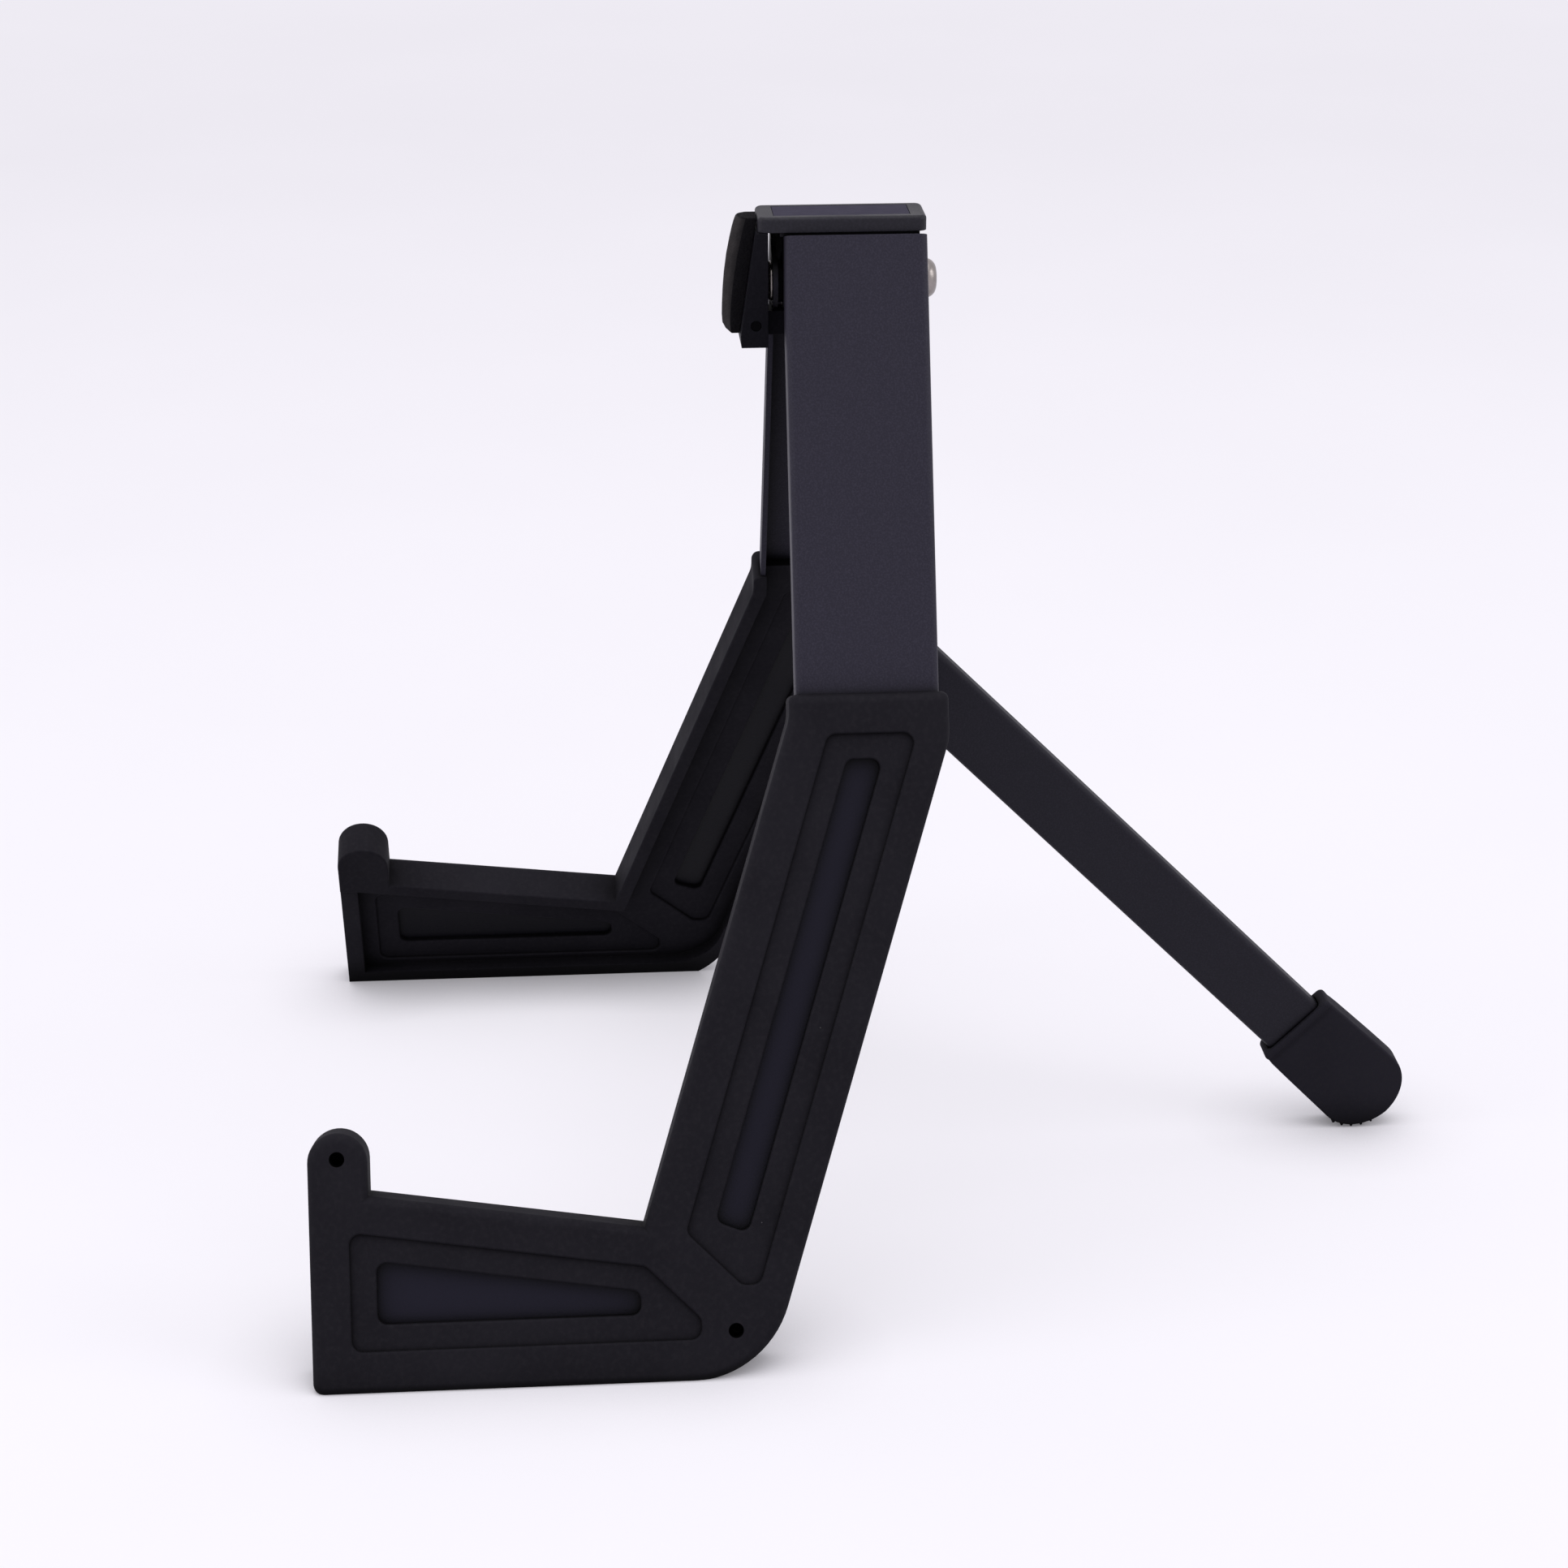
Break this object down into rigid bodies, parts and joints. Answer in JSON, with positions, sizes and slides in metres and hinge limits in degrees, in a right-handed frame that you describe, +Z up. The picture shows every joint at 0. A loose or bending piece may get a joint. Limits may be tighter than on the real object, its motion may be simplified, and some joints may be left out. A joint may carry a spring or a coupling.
{
  "type": "folding guitar stand",
  "caption": "Folding guitar stand with splayed steel legs in rubber covers, cradle arms with end horns, a padded head and a hinged rear leg with a rubber boot.",
  "frame": {"origin": "on the floor under the middle of the open stand's bounding box", "axes": "+Z up, -Y the side of the guitar, +Y the rear leg, +X the right leg seen from the front"},
  "size_m": [0.354, 0.448, 0.3932],
  "materials": {
    "powder_coat": "satin fine-textured powder coat",
    "moulded_rubber": "matte moulded rubber",
    "nickel": "nickel-plated dome",
    "plain_steel": "plain satin steel",
    "nylon": "plain moulded nylon",
    "cap_plastic": "fine-grained dark grey plastic",
    "badge_plate": "satin grey plate",
    "foam": "dense foam, open fine cells"
  },
  "bodies": {
    "head": {"spine_tube": "powder_coat", "head_plate": "powder_coat", "pad_bracket": "powder_coat", "hinge_rivet": "nickel", "bracket_rivets": "plain_steel", "carrier_pin": "plain_steel", "rear_pivot_pin": "plain_steel", "rear_stop_pin": "plain_steel", "cap_screws": "plain_steel", "hinge_spacer": "plain_steel", "hinge_collars": "plain_steel", "hinge_washers": "nylon", "rear_washers": "nylon", "top_cap": "cap_plastic", "pad_carrier": "cap_plastic", "cap_badge": "badge_plate", "back_pad": "foam"},
    "right_leg": {"right_leg_channel": "powder_coat", "right_leg_cover": "moulded_rubber"},
    "left_leg": {"left_leg_channel": "powder_coat", "left_leg_cover": "moulded_rubber"},
    "rear_leg": {"rear_leg_tube": "powder_coat", "rear_leg_insert": "nylon", "insert_rivet": "plain_steel", "rear_leg_boot": "moulded_rubber"}
  },
  "joints": [
    {"name": "right_leg_fold", "type": "hinge", "parent": "head", "child": "right_leg", "pos_m": [0, -0.0119, 0.36701], "axis": [0, 1, 0], "range_deg": [0, 22.3]},
    {"name": "left_leg_fold", "type": "hinge", "parent": "head", "child": "left_leg", "pos_m": [0, -0.0119, 0.36701], "axis": [0, -1, 0], "range_deg": [0, 22.3]},
    {"name": "rear_leg_fold", "type": "hinge", "parent": "head", "child": "rear_leg", "pos_m": [0, -0.00297, 0.22721], "axis": [-1, 0, 0], "range_deg": [0, 62.3]}
  ]
}
